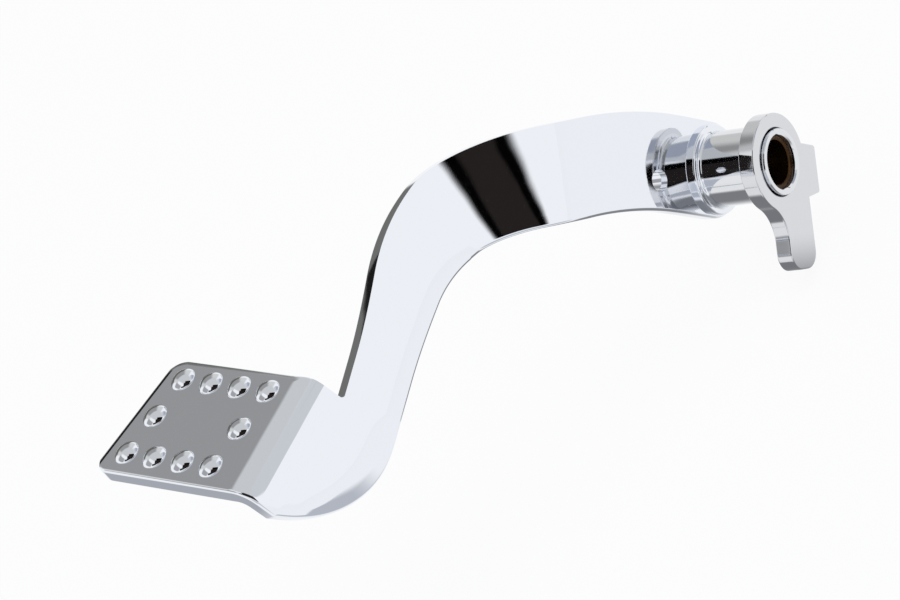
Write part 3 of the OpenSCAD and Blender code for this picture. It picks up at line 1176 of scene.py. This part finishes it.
@dataclass
class Studio:
    """Pale floor, white surround, a soft lamp, and the dark and grey boards that polished metal mirrors."""

    target: Point3 = (0.0748, -0.07917, 0.02688)
    azimuth: float = 46.583
    elevation: float = 36.107
    roll: float = 37.937
    distance: float = 1.4
    lens: float = 160.0
    sensor: float = 36.0
    floor_gap: float = 0.004
    floor_half: float = 14.0
    floor_glow: float = 0.9
    sky_strength: float = 0.75
    lamp_place: Point3 = (0.2, 0.2, 1.8)
    lamp_size: Point2 = (1.6, 1.2)
    lamp_watts: float = 6.0

    def towards(self, azimuth: float, elevation: float) -> Vector:
        """Unit vector towards a bearing and elevation, in degrees."""
        a, e = radians(azimuth), radians(elevation)
        return Vector((cos(a) * cos(e), sin(a) * cos(e), sin(e)))

    def axes(self) -> tuple[Vector, Vector, Vector]:
        """Works out the camera's directions.

        Returns:
            Unit vectors to the picture's right, up the picture and back to the camera.
        """
        back = self.towards(self.azimuth, self.elevation)
        level = (Vector((0, 0, 1)) - back * back.z).normalized()
        roll = radians(self.roll)
        up = level * cos(roll) + level.cross(back) * sin(roll)
        return up.cross(back), up, back

    def camera(self) -> None:
        """Sets the camera at the photograph's viewing angle."""
        right, up, back = self.axes()
        data = bpy.data.cameras.new("pedal_camera")
        data.lens = self.lens
        data.sensor_width = self.sensor
        data.clip_start, data.clip_end = 0.05, 60.0
        eye = placed("pedal_camera", data)
        turn = Matrix((right, up, back)).transposed()
        eye.matrix_world = Matrix.Translation(Vector(self.target) + back * self.distance) @ turn.to_4x4()
        bpy.context.scene.camera = eye

    def surround(self) -> None:
        """Makes the white surround, whose diffuse part lights the pedal softly."""
        world = bpy.data.worlds.new("white_surround")
        bpy.context.scene.world = world
        world.use_nodes = True
        tree = world.node_tree
        tree.nodes.clear()
        soft = add_node(tree, "ShaderNodeBackground", {
            "Color": linear_colour("#F4F6F8"), "Strength": self.sky_strength})
        white = add_node(tree, "ShaderNodeBackground", {"Color": linear_colour("#FFFFFF")})
        both = add_node(tree, "ShaderNodeMixShader", {0: seen_directly(tree), 1: soft, 2: white})
        add_node(tree, "ShaderNodeOutputWorld", {"Surface": both})

    def floor(self, low: float) -> None:
        """Lays the pale floor just under the pedal.

        Args:
            low: Height of the pedal's lowest point, in metres.
        """
        mesh = bpy.data.meshes.new("floor")
        h, z = self.floor_half, low - self.floor_gap
        mesh.from_pydata([(-h, -h, z), (h, -h, z), (h, h, z), (-h, h, z)], [], [(0, 1, 2, 3)])
        mat, tree = blank_material("pale_floor")
        # The rest of the paint stays in view, for the pedal's faint shadow
        share = maths(tree, "MULTIPLY", seen_directly(tree), self.floor_glow)
        paint = add_node(tree, "ShaderNodeBsdfDiffuse", {"Color": linear_colour("#FAFAFA")})
        white = add_node(tree, "ShaderNodeEmission", {"Color": linear_colour("#FFFFFF")})
        both = add_node(tree, "ShaderNodeMixShader", {0: share, 1: paint, 2: white})
        add_node(tree, "ShaderNodeOutputMaterial", {"Surface": both})
        mesh.materials.append(mat)
        placed("floor", mesh)

    def hang(self, board: Board) -> None:
        """Hangs one soft-edged board that only polished metal sees.

        Args:
            board: Its place, size, tone and softness.
        """
        face = board.face.normalized()
        side = board.up.cross(face).normalized()
        rise = face.cross(side).normalized()
        w, h = board.width / 2, board.height / 2
        mesh = bpy.data.meshes.new(board.name)
        corners = ((-1, -1), (1, -1), (1, 1), (-1, 1))
        places = [tuple(board.middle + side * (sx * w) + rise * (sy * h)) for sx, sy in corners]
        mesh.from_pydata(places, [], [(0, 1, 2, 3)])
        layer = mesh.uv_layers.new(name="board")
        for loop, uv in zip(layer.data, corners):
            loop.uv = uv
        mat, tree = blank_material(f"{board.name}_cloth")
        at = add_node(tree, "ShaderNodeUVMap", uv_map="board")
        apart = add_node(tree, "ShaderNodeSeparateXYZ", {0: at}).outputs
        fades = []
        for i, soft in enumerate(board.soft):
            way = maths(tree, "ABSOLUTE", apart[i])
            fades.append(add_node(tree, "ShaderNodeMapRange", {
                "Value": way, "From Min": 1.0, "From Max": 1.0 - soft}, interpolation_type="SMOOTHSTEP"))
        cover = maths(tree, "MULTIPLY", *fades)
        cloth = add_node(tree, "ShaderNodeEmission", {"Color": linear_colour(board.tone)})
        both = add_node(tree, "ShaderNodeMixShader", {
            0: cover, 1: add_node(tree, "ShaderNodeBsdfTransparent"), 2: cloth})
        add_node(tree, "ShaderNodeOutputMaterial", {"Surface": both})
        mesh.materials.append(mat)
        piece = placed(board.name, mesh)
        piece.visible_camera = False
        piece.visible_diffuse = False
        piece.visible_shadow = False

    def boards(self) -> None:
        """Hangs the boards and lays the floor mats that give the plating its darks and greys; the mat by the
        hub is painted shadow.
        """
        level = Vector((0, 0, 1))
        right, up, back = self.axes()
        hub, pad = Vector((0, 0, 0)), Vector((0.185, -0.112, 0.09))
        neck, bend = Vector((0.14, -0.06, 0.09)), Vector((0.19, -0.06, 0.09))
        low = CAD_LOW.z - self.floor_gap + 0.001
        # The first two stand in front of the camera, and the bar's step mirrors them as its black band
        self.hang(Board("dark_board", "#030303", back - right * 0.1 + up * 0.07, -back, up,
                        0.95, 0.98, (0.2, 0.16)))
        self.hang(Board("dim_board", "#272221", back * 0.99 - right * 0.225 - up * 0.02, -back, up,
                        0.93, 0.66, (0.05, 0.3)))
        for name, tone, aim, azimuth, elevation, far, size, soft in (
                ("rear_sky", "#DADAD7", hub, 226.0, 42.0, 2.4, (5.0, 3.4), 0.3),
                ("over_sky", "#D2D3D3", bend, 150.0, 80.0, 1.9, (3.2, 2.6), 0.3),
                ("inboard_wall", "#D3D5D7", bend, 126.0, 30.0, 1.8, (1.5, 1.4), 0.2),
                ("tube_card", "#AEB3BF", hub, 130.0, 36.0, 0.6, (0.46, 0.42), 0.3),
                ("pad_card", "#9C9C9B", pad, 226.5, 37.0, 0.5, (0.52, 0.46), 0.5),
                ("neck_card", "#73736F", neck, 243.0, 5.0, 0.45, (0.5, 0.3), 0.25),
                ("neck_strip", "#1C1B1A", neck, 243.0, 9.0, 0.42, (0.4, 0.03), 0.4),
                ("stud_card", "#363638", pad, 8.0, 34.0, 0.6, (0.5, 0.28), 0.45),
                ("front_wall", "#CFD2D8", pad, 28.0, 0.0, 0.6, (0.7, 0.34), 0.4),
                ("front_sky", "#A9A9AA", hub, -45.0, 34.0, 1.4, (1.2, 0.9), 0.4),
                ("rear_wall", "#8E9094", hub, 172.0, 4.0, 1.5, (1.2, 0.16), 0.5)):
            way = self.towards(azimuth, elevation)
            self.hang(Board(name, tone, aim + way * far, -way, level, *size, (soft, soft)))
        # Grey mats on the floor that only the plating mirrors; the mat by the hub is painted shadow, the
        # floor's shade beside the tube, which the tube's and hub's undersides mirror
        for name, tone, x, y, size, soft in (
                ("hub_shadow_mat", "#88898C", 0.05, 0.0, (0.24, 0.11), 0.6),
                ("curve_mat", "#BFC2C8", 0.27, 0.15, (0.34, 0.34), 0.3),
                ("pad_mat", "#AEB0B5", 0.28, -0.27, (0.26, 0.26), 0.5)):
            self.hang(Board(name, tone, Vector((x, y, low)), level, Vector((1, 0, 0)), *size, (soft, soft)))

    def lamps(self) -> None:
        """Hangs one large soft lamp over the pedal, which its plating doesn't mirror."""
        data = bpy.data.lights.new("soft_top", "AREA")
        data.shape = "RECTANGLE"
        data.size, data.size_y = self.lamp_size
        data.energy = self.lamp_watts
        lamp = placed("soft_top", data)
        lamp.location = self.lamp_place
        lamp.visible_glossy = False

    def build(self) -> None:
        """Sets the whole studio."""
        self.camera()
        self.surround()
        self.floor(CAD_LOW.z)
        self.boards()
        self.lamps()
        bpy.context.scene.view_settings.view_transform = "Standard"


def main() -> None:
    """Builds the pedal's pieces in order, then the studio."""
    logging.basicConfig(level=logging.INFO, format="%(name)s %(message)s")
    line = PivotLine()
    forged = FORGED_CHROME.build()
    arm = ForgedArm(line)
    arm.build(forged)
    arm.studs(forged)
    PivotTube(line).build(TURNED_CHROME.build())
    RodLever(line).build(STAMPED_CHROME.build())
    bronze = BEARING_BRONZE.build()
    Bushing(line, inboard=True).build(bronze)
    Bushing(line, inboard=False).build(bronze)
    Studio().build()


if __name__ == "__main__":
    main()
